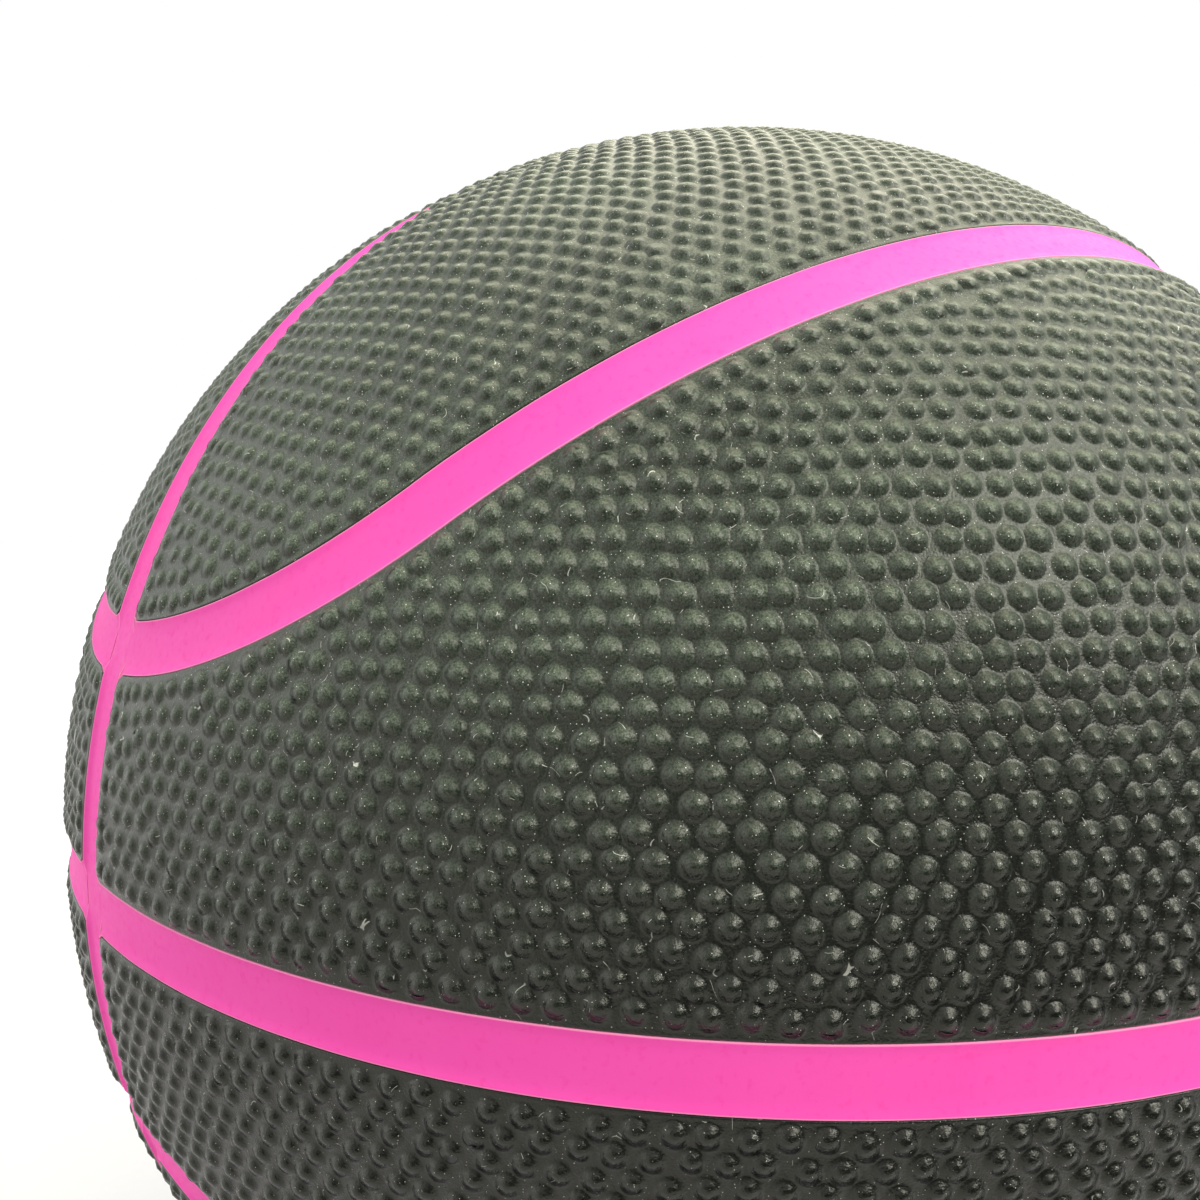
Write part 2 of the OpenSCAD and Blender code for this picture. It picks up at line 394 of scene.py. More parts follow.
def seam_distances(p):
    """Distance in mm from the middle lines of ring, equator and loop; inside the loop is positive."""
    x = np.abs(p[:, 0])
    y = p[:, 1]
    z = p[:, 2]
    ring = np.arcsin(np.clip(y, -1, 1))
    equator = np.arcsin(np.clip(z, -1, 1))
    run = np.arcsin(np.clip(z * math.sin(LOOP_TILT) - y * math.cos(LOOP_TILT), -1, 1))
    near = x * math.cos(LOOP_CORNER) + z * math.sin(LOOP_CORNER)
    toward = x * math.sin(LOOP_CORNER) - z * math.cos(LOOP_CORNER)
    corner = CORNER_R - np.arccos(np.clip(near, -1, 1))
    loop = np.where(np.arctan2(y, toward) < CORNER_SWEEP, corner, run)
    return BALL_R * ring, BALL_R * equator, BALL_R * loop


def rounded(a, b):
    """Depth inside two edges whose corner is rounded."""
    bend = PANEL_CORNER - np.hypot(np.maximum(PANEL_CORNER - a, 0), np.maximum(PANEL_CORNER - b, 0))
    return np.where((a >= PANEL_CORNER) & (b >= PANEL_CORNER), np.minimum(a, b), bend)


def depth_in_loop_panel(p):
    ring, _, loop = seam_distances(p)
    return rounded(ring - CHANNEL_HALF, loop - CHANNEL_HALF)


def depth_in_band_panel(p):
    ring, equator, loop = seam_distances(p)
    return rounded(rounded(ring - CHANNEL_HALF, equator - CHANNEL_HALF), -loop - CHANNEL_HALF)


def depth_in_valve_panel(p):
    valve = np.array((0.0, math.sin(VALVE_TILT), math.cos(VALVE_TILT)))
    hole = BALL_R * np.arccos(np.clip(p @ valve, -1, 1)) - STEM_HOLE_R
    return np.minimum(depth_in_band_panel(p), hole)


def inward(depth, p):
    """Direction on the ball in which the depth grows."""
    east = unit(np.cross(p, np.array((0.0, -0.7, 0.7))))
    north = np.cross(p, east)
    turn = PROBE / BALL_R
    rise_east = depth(unit(p + turn * east)) - depth(unit(p - turn * east))
    rise_north = depth(unit(p + turn * north)) - depth(unit(p - turn * north))
    return unit(east * rise_east[:, None] + north * rise_north[:, None])


def settle(depth, p, level):
    """Moves points straight onto the line of the given depth."""
    for _ in range(3):
        p = unit(p + inward(depth, p) * ((level - depth(p)) / BALL_R)[:, None])
    return p


def outline(depth, start, level):
    """Evenly spaced points along the closed line of the given depth through the start."""
    p = settle(depth, unit(np.array([start], float)), level)
    walk = [p[0]]
    while True:
        way = np.cross(p, inward(depth, p))
        p = settle(depth, unit(p + way * (TRACE_STEP / BALL_R)), level)
        if len(walk) > 8 and np.linalg.norm(p[0] - walk[0]) * BALL_R < 0.9 * TRACE_STEP:
            break
        walk.append(p[0])
    walk = np.array(walk + walk[:1])
    run = np.concatenate(([0.0], np.cumsum(np.linalg.norm(np.diff(walk, axis=0), axis=1))))
    count = round(run[-1] * BALL_R / EDGE_SPACING)
    at = np.arange(count) * run[-1] / count
    even = np.stack([np.interp(at, run, walk[:, i]) for i in range(3)], axis=1)
    return settle(depth, unit(even), level)


def staggered_rows(axis):
    """Pebble places in staggered rows round an axis, a row losing pebbles once they crowd."""
    rows = []
    lift = (CHANNEL_HALF + FIRST_ROW) / BALL_R
    count = 0
    while lift < 0.5 * math.pi - PEBBLE_PITCH / BALL_R:
        girth = 2 * math.pi * math.cos(lift) * BALL_R
        if count == 0 or girth / count < (1 - ROW_SLACK) * PEBBLE_PITCH:
            count = round(girth / ((1 + ROW_SLACK) * PEBBLE_PITCH))
        turn = (np.arange(count) + 0.5 * (len(rows) % 2)) * 2 * math.pi / count
        rise = np.full(count, math.sin(lift))
        rows.append(np.stack((math.cos(lift) * np.cos(turn), math.cos(lift) * np.sin(turn), rise), axis=1))
        lift += math.sqrt(0.75) * PEBBLE_PITCH ** 2 / (girth / count) / BALL_R
    across = np.array((1.0, 0.0, 0.0))
    turned = np.stack((across, np.cross(axis, across), axis))
    return np.concatenate(rows) @ turned


def pebble_centres(depth, axis, seed):
    """Even but slightly irregular pebble places inside a panel, one row close along each edge."""
    p = staggered_rows(np.array(axis))
    p = p[(p[:, 1] > 0) & (p[:, 2] > 0)]
    p = p[depth(p) > FIRST_ROW - 0.4 * PEBBLE_PITCH]
    rng = np.random.default_rng(seed)
    p = unit(p + rng.normal(0, FIRST_JITTER * PEBBLE_PITCH / BALL_R, p.shape))
    near = None
    for step in range(RELAX_ROUNDS):
        if step % 6 == 0:
            near = np.argpartition(-(p @ p.T), NEIGHBOURS, axis=1)[:, :NEIGHBOURS]
        away = (p[:, None] - p[near]) * BALL_R
        gap = np.linalg.norm(away, axis=2)
        push = np.clip(PUSH_REACH * PEBBLE_PITCH - gap, 0, None) / np.maximum(gap, 1e-6)
        push = np.where(gap > 1e-6, push, 0)
        p = unit(p + PUSH_SHARE * (away * push[:, :, None]).sum(axis=1) / BALL_R)
        short = FIRST_ROW - depth(p)
        drawn = short > -EDGE_REACH * PEBBLE_PITCH
        pull = np.where(short > 0, short, EDGE_PULL * short)
        p[drawn] = unit(p[drawn] + inward(depth, p[drawn]) * (pull[drawn] / BALL_R)[:, None])
    p = unit(p + rng.normal(0, PEBBLE_JITTER * PEBBLE_PITCH / BALL_R, p.shape))
    return p[depth(p) > FIRST_ROW - 0.5]


def panel_plan(depth, middle, axis, starts, seed):
    """Flat plan of a panel: points, triangles, which points are pebbles, and the way out at its edges."""
    rims = [outline(depth, start, MARGIN) for start in starts]
    pebbles = pebble_centres(depth, axis, seed)
    points = np.concatenate(rims + [pebbles])
    edges = []
    first = 0
    for rim in rims:
        edges += [(first + i, first + (i + 1) % len(rim)) for i in range(len(rim))]
        first += len(rim)
    out = np.zeros_like(points)
    out[:first] = -inward(depth, points[:first])
    middle = unit(np.array(middle, float))
    across = np.array((1.0, 0.0, 0.0))
    along = np.cross(middle, across)
    spread = 1 + points @ middle
    flat = [Vector(uv) for uv in zip(points @ across / spread, points @ along / spread)]
    done = delaunay_2d_cdt(flat, edges, [], 1, 1e-10)
    back = np.array([source[0] for source in done[3]])
    triangles = back[np.array(done[2])]
    inside = depth(unit(points[triangles].mean(axis=1))) > 0.5 * MARGIN
    is_pebble = (np.arange(len(points)) >= first).astype(float)
    return points, triangles[inside], is_pebble, out


def panel_lattice(name, plan, side, level):
    """Mesh of a panel's plan on the ball, mirrored into its quarter."""
    points, triangles, is_pebble, out = plan
    flip = np.array((1.0, side, level))
    faces = triangles if side * level > 0 else triangles[:, ::-1]
    mesh = bpy.data.meshes.new(name)
    mesh.from_pydata((points * flip * GROUND_R * MM).tolist(), [], faces.tolist())
    store(mesh, "pebble", is_pebble)
    store(mesh, "edge_out", out * flip)
    return mesh


# Geometry Nodes: a pebbled panel grown on its lattice


def new_tree(name, sizes, source, result):
    """Empty Geometry Nodes tree with named inputs for its sizes; returns the tree and its input sockets."""
    tree = bpy.data.node_groups.new(name, "GeometryNodeTree")
    tree.interface.new_socket(source, in_out="INPUT", socket_type="NodeSocketGeometry")
    for label, kind in sizes:
        tree.interface.new_socket(label, in_out="INPUT", socket_type=kind)
    tree.interface.new_socket(result, in_out="OUTPUT", socket_type="NodeSocketGeometry")
    return tree, add(tree, "NodeGroupInput").outputs


def finish_tree(tree, geometry, material):
    """Closes a tree: smooth shading, real geometry and its material."""
    smooth = add(tree, "GeometryNodeSetShadeSmooth", {"Geometry": geometry})
    real = add(tree, "GeometryNodeRealizeInstances", {"Geometry": smooth.outputs[0]})
    clad = add(tree, "GeometryNodeSetMaterial", {"Geometry": real.outputs[0], "Material": material})
    add(tree, "NodeGroupOutput", {0: clad.outputs[0]})


def pebbled_panel_tree(material):
    sizes = (
        ("Ground radius", "NodeSocketFloat"),
        ("Inner radius", "NodeSocketFloat"),
        ("Margin", "NodeSocketFloat"),
        ("Pebble radius", "NodeSocketFloat"),
        ("Pebble height", "NodeSocketFloat"),
        ("Seed", "NodeSocketInt"),
    )
    tree, given = new_tree("pebbled_panel", sizes, "Lattice", "Panel")
    lattice = given["Lattice"]
    ground_r = given["Ground radius"]
    pebble = add(tree, "GeometryNodeInputNamedAttribute", {"Name": "pebble"}, data_type="FLOAT")
    is_pebble = add(
        tree, "FunctionNodeCompare", {0: pebble.outputs[0], 1: 0.5},
        data_type="FLOAT", operation="GREATER_THAN",
    ).outputs[0]

    # One cell round each pebble, with a smaller cap inside it, split once into rings
    bare = add(tree, "GeometryNodeDualMesh", {"Mesh": lattice, "Keep Boundaries": True}).outputs[0]
    cells = add(tree, "GeometryNodeSetMaterial", {"Geometry": bare, "Material": material}).outputs[0]
    capped = add(
        tree, "GeometryNodeExtrudeMesh",
        {"Mesh": cells, "Selection": is_pebble, "Offset Scale": 0.0, "Individual": True}, mode="FACES",
    )
    marked = add(
        tree, "GeometryNodeStoreNamedAttribute",
        {"Geometry": capped.outputs["Mesh"], "Name": "cap", "Value": capped.outputs["Top"]},
        data_type="FLOAT", domain="POINT",
    ).outputs[0]
    inset = add(
        tree, "GeometryNodeScaleElements",
        {"Geometry": marked, "Selection": capped.outputs["Top"], "Scale": 0.5}, domain="FACE",
    )
    fine = add(tree, "GeometryNodeSubdivisionSurface", {"Mesh": inset.outputs[0], "Level": 1}).outputs[0]
    cap = add(tree, "GeometryNodeInputNamedAttribute", {"Name": "cap"}, data_type="FLOAT").outputs[0]
    on_cap = add(
        tree, "FunctionNodeCompare", {0: cap, 1: 0.9}, data_type="FLOAT", operation="GREATER_THAN",
    ).outputs[0]
    on_dome = add(
        tree, "FunctionNodeCompare", {0: cap, 1: 0.25}, data_type="FLOAT", operation="GREATER_THAN",
    ).outputs[0]

    # Every point on the ground sphere, the pebble it belongs to, and how far it lies from the middle
    here = add(tree, "GeometryNodeInputPosition").outputs[0]
    outward = add(tree, "ShaderNodeVectorMath", {0: here}, operation="NORMALIZE").outputs[0]
    ground = add(
        tree, "ShaderNodeVectorMath", {0: outward, "Scale": ground_r}, operation="SCALE",
    ).outputs[0]
    centres = add(
        tree, "GeometryNodeMeshToPoints", {"Mesh": lattice, "Selection": is_pebble}, mode="VERTICES",
    ).outputs[0]
    nearest = add(
        tree, "GeometryNodeSampleNearest", {"Geometry": centres, "Sample Position": ground}, domain="POINT",
    ).outputs[0]
    centre = add(
        tree, "GeometryNodeSampleIndex", {"Geometry": centres, "Value": here, "Index": nearest},
        data_type="FLOAT_VECTOR", domain="POINT",
    ).outputs[0]
    offset = add(tree, "ShaderNodeVectorMath", {0: ground, 1: centre}, operation="SUBTRACT").outputs[0]
    away = add(tree, "ShaderNodeVectorMath", {0: offset}, operation="LENGTH").outputs["Value"]
    toward = add(tree, "ShaderNodeVectorMath", {0: offset}, operation="NORMALIZE").outputs[0]

    # Round rings: the middle, a ring part way down the dome, and the foot
    scale = add(
        tree, "FunctionNodeRandomValue", {2: SMALLEST, 3: LARGEST, "ID": nearest, "Seed": given["Seed"]},
        data_type="FLOAT",
    ).outputs[1]
    foot = add(
        tree, "ShaderNodeMath", {0: scale, 1: given["Pebble radius"]}, operation="MULTIPLY",
    ).outputs[0]
    room = add(tree, "ShaderNodeMath", {0: away, 1: FOOT_ROOM}, operation="MULTIPLY").outputs[0]
    foot_at = add(tree, "ShaderNodeMath", {0: foot, 1: room}, operation="MINIMUM").outputs[0]
    cap_at = add(tree, "ShaderNodeMath", {0: foot, 1: CAP_RING}, operation="MULTIPLY").outputs[0]
    is_middle = add(
        tree, "FunctionNodeCompare", {0: away, 1: MIDDLE_REACH * MM},
        data_type="FLOAT", operation="LESS_THAN",
    ).outputs[0]
    radius = away
    for here_is, at in ((on_dome, foot_at), (on_cap, cap_at), (is_middle, 0.0)):
        radius = add(
            tree, "GeometryNodeSwitch", {0: here_is, 1: radius, 2: at}, input_type="FLOAT",
        ).outputs[0]
    step = add(tree, "ShaderNodeVectorMath", {0: toward, "Scale": radius}, operation="SCALE").outputs[0]
    ringed = add(tree, "ShaderNodeVectorMath", {0: centre, 1: step}, operation="ADD").outputs[0]
    aim = add(tree, "ShaderNodeVectorMath", {0: ringed}, operation="NORMALIZE").outputs[0]

    # Spherical cap of the pebble's height, and the slope of its side
    bend = (PEBBLE_R ** 2 + PEBBLE_H ** 2) / (2 * PEBBLE_H) * MM
    part = add(tree, "ShaderNodeMath", {0: radius, 1: scale}, operation="DIVIDE").outputs[0]
    square = add(tree, "ShaderNodeMath", {0: part, 1: part}, operation="MULTIPLY").outputs[0]
    left_over = add(tree, "ShaderNodeMath", {0: bend ** 2, 1: square}, operation="SUBTRACT").outputs[0]
    depth = add(tree, "ShaderNodeMath", {0: left_over}, operation="SQRT").outputs[0]
    base = add(
        tree, "ShaderNodeMath", {0: bend, 1: given["Pebble height"]}, operation="SUBTRACT",
    ).outputs[0]
    over = add(tree, "ShaderNodeMath", {0: depth, 1: base}, operation="SUBTRACT").outputs[0]
    raised = add(tree, "ShaderNodeMath", {0: over, 1: 0.0}, operation="MAXIMUM").outputs[0]
    rise = add(tree, "ShaderNodeMath", {0: raised, 1: scale}, operation="MULTIPLY").outputs[0]
    level = add(tree, "ShaderNodeMath", {0: rise, 1: ground_r}, operation="ADD").outputs[0]
    lifted = add(tree, "ShaderNodeVectorMath", {0: aim, "Scale": level}, operation="SCALE").outputs[0]
    slope = add(tree, "ShaderNodeMath", {0: part, 1: depth}, operation="DIVIDE").outputs[0]
    softened = add(
        tree, "ShaderNodeMapRange",
        {0: part, 1: 0.8 * PEBBLE_R * MM, 2: PEBBLE_R * MM, 3: SIDE_STEEP, 4: FOOT_SOFT},
    ).outputs[0]
    lean = add(tree, "ShaderNodeMath", {0: slope, 1: softened}, operation="MULTIPLY").outputs[0]
    sideways = add(tree, "ShaderNodeVectorMath", {0: toward, "Scale": lean}, operation="SCALE").outputs[0]
    tilted = add(tree, "ShaderNodeVectorMath", {0: aim, 1: sideways}, operation="ADD").outputs[0]
    dome_normal = add(tree, "ShaderNodeVectorMath", {0: tilted}, operation="NORMALIZE").outputs[0]

    way_raw = add(tree, "GeometryNodeInputNamedAttribute", {"Name": "edge_out"}, data_type="FLOAT_VECTOR")
    way = add(tree, "ShaderNodeVectorMath", {0: way_raw.outputs[0]}, operation="NORMALIZE").outputs[0]
    sides = add(tree, "GeometryNodeInputMeshEdgeNeighbors").outputs[0]
    on_rim = add(
        tree, "FunctionNodeCompare", {2: sides, 3: 1}, data_type="INT", operation="EQUAL",
    ).outputs[0]
    mesh = fine
    kept = {}
    for name, value in (("rim_way", way), ("rim_spot", ground), ("dome_normal", dome_normal)):
        mesh = add(
            tree, "GeometryNodeStoreNamedAttribute", {"Geometry": mesh, "Name": name, "Value": value},
            data_type="FLOAT_VECTOR", domain="POINT",
        ).outputs[0]
        kept[name] = add(
            tree, "GeometryNodeInputNamedAttribute", {"Name": name}, data_type="FLOAT_VECTOR",
        ).outputs[0]
    mesh = add(tree, "GeometryNodeSetPosition", {"Geometry": mesh, "Position": lifted}).outputs[0]

    # Rolled edge and wall, one ring of faces after another
    pick = on_rim
    rings = [(out, GROUND_R + height) for out, height in EDGE_PROFILE] + [(EDGE_PROFILE[-1][0], COVER_IN_R)]
    for out, radius in rings:
        grown = add(
            tree, "GeometryNodeExtrudeMesh", {"Mesh": mesh, "Selection": pick, "Offset Scale": 0.0},
            mode="EDGES",
        )
        step = add(
            tree, "ShaderNodeVectorMath", {0: kept["rim_way"], "Scale": out * MM}, operation="SCALE",
        ).outputs[0]
        moved = add(
            tree, "ShaderNodeVectorMath", {0: kept["rim_spot"], 1: step}, operation="ADD",
        ).outputs[0]
        aim = add(tree, "ShaderNodeVectorMath", {0: moved}, operation="NORMALIZE").outputs[0]
        spot = add(
            tree, "ShaderNodeVectorMath", {0: aim, "Scale": radius * MM}, operation="SCALE",
        ).outputs[0]
        pick = grown.outputs["Top"]
        mesh = add(
            tree, "GeometryNodeSetPosition",
            {"Geometry": grown.outputs["Mesh"], "Selection": pick, "Position": spot},
        ).outputs[0]

    # Smooth inner face, joined to the foot of the wall
    lining = add(tree, "GeometryNodeSubdivisionSurface", {"Mesh": cells, "Level": 1}).outputs[0]
    lining_step = add(
        tree, "ShaderNodeVectorMath", {0: way, "Scale": given["Margin"]}, operation="SCALE",
    ).outputs[0]
    lining_moved = add(
        tree, "ShaderNodeVectorMath", {0: ground, 1: lining_step}, operation="ADD",
    ).outputs[0]
    lining_rim = add(
        tree, "GeometryNodeSetPosition",
        {"Geometry": lining, "Selection": on_rim, "Position": lining_moved},
    ).outputs[0]
    lining_spot = add(
        tree, "ShaderNodeVectorMath", {0: outward, "Scale": given["Inner radius"]}, operation="SCALE",
    ).outputs[0]
    lining_set = add(
        tree, "GeometryNodeSetPosition", {"Geometry": lining_rim, "Position": lining_spot},
    ).outputs[0]
    lining_out = add(tree, "GeometryNodeFlipFaces", {"Mesh": lining_set}).outputs[0]
    both = add(tree, "GeometryNodeJoinGeometry", {"Geometry": [mesh, lining_out]}).outputs[0]
    closed = add(tree, "GeometryNodeMergeByDistance", {"Geometry": both, "Distance": WELD * MM}).outputs[0]

    # Domes shade as true caps, the rest by its faces
    plain = add(tree, "GeometryNodeInputNormal").outputs["Normal"]
    normal = add(
        tree, "GeometryNodeSwitch", {0: on_dome, 1: plain, 2: kept["dome_normal"]}, input_type="VECTOR",
    ).outputs[0]

    # For the finish: the way the bare ground faces, and the way out from each pebble's middle in foot radii
    level_ground = add(
        tree, "GeometryNodeSwitch", {0: on_dome, 1: plain, 2: outward}, input_type="VECTOR",
    ).outputs[0]
    own_middle = add(
        tree, "GeometryNodeFieldOnDomain", {0: centre}, data_type="FLOAT_VECTOR", domain="FACE",
    ).outputs[0]
    own_foot = add(
        tree, "GeometryNodeFieldOnDomain", {0: foot}, data_type="FLOAT", domain="FACE",
    ).outputs[0]
    from_middle = add(
        tree, "ShaderNodeVectorMath", {0: ground, 1: own_middle}, operation="SUBTRACT",
    ).outputs[0]
    share = add(tree, "ShaderNodeMath", {0: 1.0, 1: own_foot}, operation="DIVIDE").outputs[0]
    dome_way = add(
        tree, "ShaderNodeVectorMath", {0: from_middle, "Scale": share}, operation="SCALE",
    ).outputs[0]
    mesh = closed
    for name, value, domain in (("ground_normal", level_ground, "POINT"), ("dome_way", dome_way, "CORNER")):
        mesh = add(
            tree, "GeometryNodeStoreNamedAttribute", {"Geometry": mesh, "Name": name, "Value": value},
            data_type="FLOAT_VECTOR", domain=domain,
        ).outputs[0]
    shaded = add(
        tree, "GeometryNodeSetMeshNormal", {"Mesh": mesh, "Custom Normal": normal},
        mode="FREE", domain="POINT",
    ).outputs[0]
    finish_tree(tree, shaded, material)
    return tree


# Geometry Nodes: a dished strip swept along its seam


def channel_strip_tree(material):
    sizes = (
        ("Section", "NodeSocketObject"),
        ("Half width", "NodeSocketFloat"),
        ("Ground radius", "NodeSocketFloat"),
        ("Extra depth", "NodeSocketFloat"),
        ("Wobble", "NodeSocketFloat"),
        ("Wobble scale", "NodeSocketFloat"),
    )
    tree, given = new_tree("channel_strip", sizes, "Seam line", "Strip")
    here = add(tree, "GeometryNodeInputPosition").outputs[0]
    spine = add(
        tree, "GeometryNodeStoreNamedAttribute",
        {"Geometry": given["Seam line"], "Name": "spine", "Value": here},
        data_type="FLOAT_VECTOR", domain="POINT",
    ).outputs[0]
    path = add(tree, "GeometryNodeMeshToCurve", {"Mesh": spine}).outputs[0]
    section = add(tree, "GeometryNodeObjectInfo", {"Object": given["Section"]}).outputs["Geometry"]
    profile = add(tree, "GeometryNodeMeshToCurve", {"Mesh": section}).outputs[0]
    swept = add(
        tree, "GeometryNodeCurveToMesh", {"Curve": path, "Profile Curve": profile, "Fill Caps": True},
    ).outputs[0]
    read = {}
    for name, kind in (
        ("spine", "FLOAT_VECTOR"), ("side", "FLOAT_VECTOR"), ("flare", "FLOAT"), ("rim_drop", "FLOAT"),
        ("dish", "FLOAT"), ("across", "FLOAT"), ("rise", "FLOAT"), ("upper", "FLOAT"),
    ):
        read[name] = add(tree, "GeometryNodeInputNamedAttribute", {"Name": name}, data_type=kind).outputs[0]
    stray = add(
        tree, "ShaderNodeTexNoise",
        {"Vector": read["spine"], "Scale": given["Wobble scale"], "Detail": 3.0},
    ).outputs[0]
    sway = add(
        tree, "ShaderNodeMapRange", {0: stray, 1: 0.25, 2: 0.75, 3: 0.0, 4: given["Wobble"]},
    ).outputs[0]
    wide = add(
        tree, "ShaderNodeMath", {0: given["Half width"], 1: read["flare"]}, operation="ADD",
    ).outputs[0]
    kept = add(tree, "ShaderNodeMath", {0: wide, 1: sway}, operation="SUBTRACT").outputs[0]
    out = add(tree, "ShaderNodeMath", {0: kept, 1: read["across"]}, operation="MULTIPLY").outputs[0]
    step = add(tree, "ShaderNodeVectorMath", {0: read["side"], "Scale": out}, operation="SCALE").outputs[0]
    moved = add(tree, "ShaderNodeVectorMath", {0: read["spine"], 1: step}, operation="ADD").outputs[0]
    aim = add(tree, "ShaderNodeVectorMath", {0: moved}, operation="NORMALIZE").outputs[0]
    off = add(tree, "ShaderNodeMath", {0: read["across"]}, operation="ABSOLUTE").outputs[0]
    rim = add(tree, "ShaderNodeMapRange", {0: off, 1: RIM_START, 2: 0.94, 3: 0.0, 4: 1.0}).outputs[0]
    sunk = add(
        tree, "ShaderNodeMix", {0: rim, 2: given["Extra depth"], 3: read["rim_drop"]}, data_type="FLOAT",
    ).outputs[0]
    lowered = add(tree, "ShaderNodeMath", {0: sunk, 1: read["upper"]}, operation="MULTIPLY").outputs[0]
    flat = add(
        tree, "ShaderNodeMix", {0: read["upper"], 2: 1.0, 3: read["dish"]}, data_type="FLOAT",
    ).outputs[0]
    dished = add(tree, "ShaderNodeMath", {0: read["rise"], 1: flat}, operation="MULTIPLY").outputs[0]
    rise = add(tree, "ShaderNodeMath", {0: dished, 1: lowered}, operation="SUBTRACT").outputs[0]
    level = add(tree, "ShaderNodeMath", {0: given["Ground radius"], 1: rise}, operation="ADD").outputs[0]
    spot = add(tree, "ShaderNodeVectorMath", {0: aim, "Scale": level}, operation="SCALE").outputs[0]
    set_down = add(tree, "GeometryNodeSetPosition", {"Geometry": swept, "Position": spot}).outputs[0]
    finish_tree(tree, set_down, material)
    return tree


def strip_section():
    """Closed section of a strip as a line of points with their place across and their height."""
    half = [(out / RIM_HALF, height) for out, height in STRIP_SECTION]
    top = [(-out, height) for out, height in reversed(half)] + half[1:]
    under = [(out, STRIP_UNDER) for out in (1.0, 0.35, -0.35, -1.0)]
    points = top + under
    mesh = bpy.data.meshes.new("strip_section")
    edges = [(i, (i + 1) % len(points)) for i in range(len(points))]
    mesh.from_pydata([(a * RIM_HALF * MM, h * MM, 0.0) for a, h in points], edges, [])
    store(mesh, "across", [a for a, h in points])
    store(mesh, "rise", [h * MM for a, h in points])
    store(mesh, "upper", [1.0] * len(top) + [0.0] * len(under))
    section = bpy.data.objects.new("strip_section", mesh)
    bpy.context.scene.collection.objects.link(section)
    return section


def ring_line():
    count = round(2 * math.pi * BALL_R / PATH_STEP)
    t = np.arange(count) * 2 * math.pi / count
    way = np.stack((np.cos(t), 0 * t, np.sin(t)), axis=1)
    side = np.tile((0.0, 1.0, 0.0), (count, 1))
    return way, side


def equator_line():
    start = math.asin(CHANNEL_HALF / BALL_R)
    count = round((math.pi - 2 * start) * BALL_R / PATH_STEP)
    t = np.linspace(start, math.pi - start, count)
    way = np.stack((np.cos(t), np.sin(t), 0 * t), axis=1)
    side = np.tile((0.0, 0.0, 1.0), (count, 1))
    return way, side


def loop_line():
    """Middle line of half a loop, from the ring round one end, along the run and round the other end."""
    start = math.asin(CHANNEL_HALF / BALL_R / math.sin(CORNER_R))
    count = round((CORNER_SWEEP - start) * math.sin(CORNER_R) * BALL_R / PATH_STEP)
    t = np.linspace(start, CORNER_SWEEP, count)[:, None]
    centre = np.array((math.cos(LOOP_CORNER), 0.0, math.sin(LOOP_CORNER)))
    spoke = np.cos(t) * np.array((math.sin(LOOP_CORNER), 0.0, -math.cos(LOOP_CORNER)))
    spoke = spoke + np.sin(t) * np.array((0.0, 1.0, 0.0))
    bend = math.cos(CORNER_R) * centre + math.sin(CORNER_R) * spoke
    bend_side = math.cos(CORNER_R) * spoke - math.sin(CORNER_R) * centre
    count = round((math.pi - 2 * RUN_START) * BALL_R / PATH_STEP)
    t = np.linspace(RUN_START, math.pi - RUN_START, count)[1:-1, None]
    run = np.cos(t) * np.array((1.0, 0.0, 0.0))
    run = run + np.sin(t) * np.array((0.0, math.sin(LOOP_TILT), math.cos(LOOP_TILT)))
    run_side = np.tile((0.0, math.cos(LOOP_TILT), -math.sin(LOOP_TILT)), (len(run), 1))
    mirror = np.array((-1.0, 1.0, 1.0))
    way = np.concatenate((bend, run, bend[::-1] * mirror))
    side = np.concatenate((bend_side, run_side, bend_side[::-1] * mirror))
    return way, side


def ring_rim_drop(way):
    """How far the ring's rims drop in mm where the equator and the loops run into it."""
    vertex = LOOP_CORNER - CORNER_R
    turn = np.arctan2(way[:, 2], way[:, 0])
    places = np.array((0.0, math.pi, vertex, math.pi - vertex, -vertex, vertex - math.pi))
    apart = np.abs((turn[:, None] - places + math.pi) % (2 * math.pi) - math.pi).min(axis=1) * BALL_R
    outs = np.array([out for out, height in STRIP_SECTION])
    heights = np.array([height for out, height in STRIP_SECTION])
    met = np.interp(apart, outs, heights) - 0.5 * RING_DEPTH
    return np.where(apart < outs[-2], np.maximum(heights[-2] - met, 0.0), 0.0)


def seam_line_mesh(name, line, flip, closed):
    """Line of points along a seam with the way across it and the flare where it meets the ring."""
    way, side = line
    from_ring = BALL_R * np.arcsin(np.abs(way[:, 1])) - CHANNEL_HALF
    in_corner = np.clip(PANEL_CORNER - from_ring, 0, PANEL_CORNER)
    flare = np.zeros(len(way)) if closed else PANEL_CORNER - np.sqrt(PANEL_CORNER ** 2 - in_corner ** 2)
    mesh = bpy.data.meshes.new(name)
    edges = [(i, i + 1) for i in range(len(way) - 1)]
    if closed:
        edges.append((len(way) - 1, 0))
    mesh.from_pydata((way * flip * GROUND_R * MM).tolist(), edges, [])
    store(mesh, "side", side * flip)
    store(mesh, "flare", flare * MM)
    dish = np.ones(len(way)) if closed else np.interp(from_ring, DISH_SPAN, (1.0, STRIP_FLAT))
    store(mesh, "dish", dish)
    drop = ring_rim_drop(way) if closed else np.zeros(len(way))
    store(mesh, "rim_drop", drop * MM)
    return mesh


# Pieces


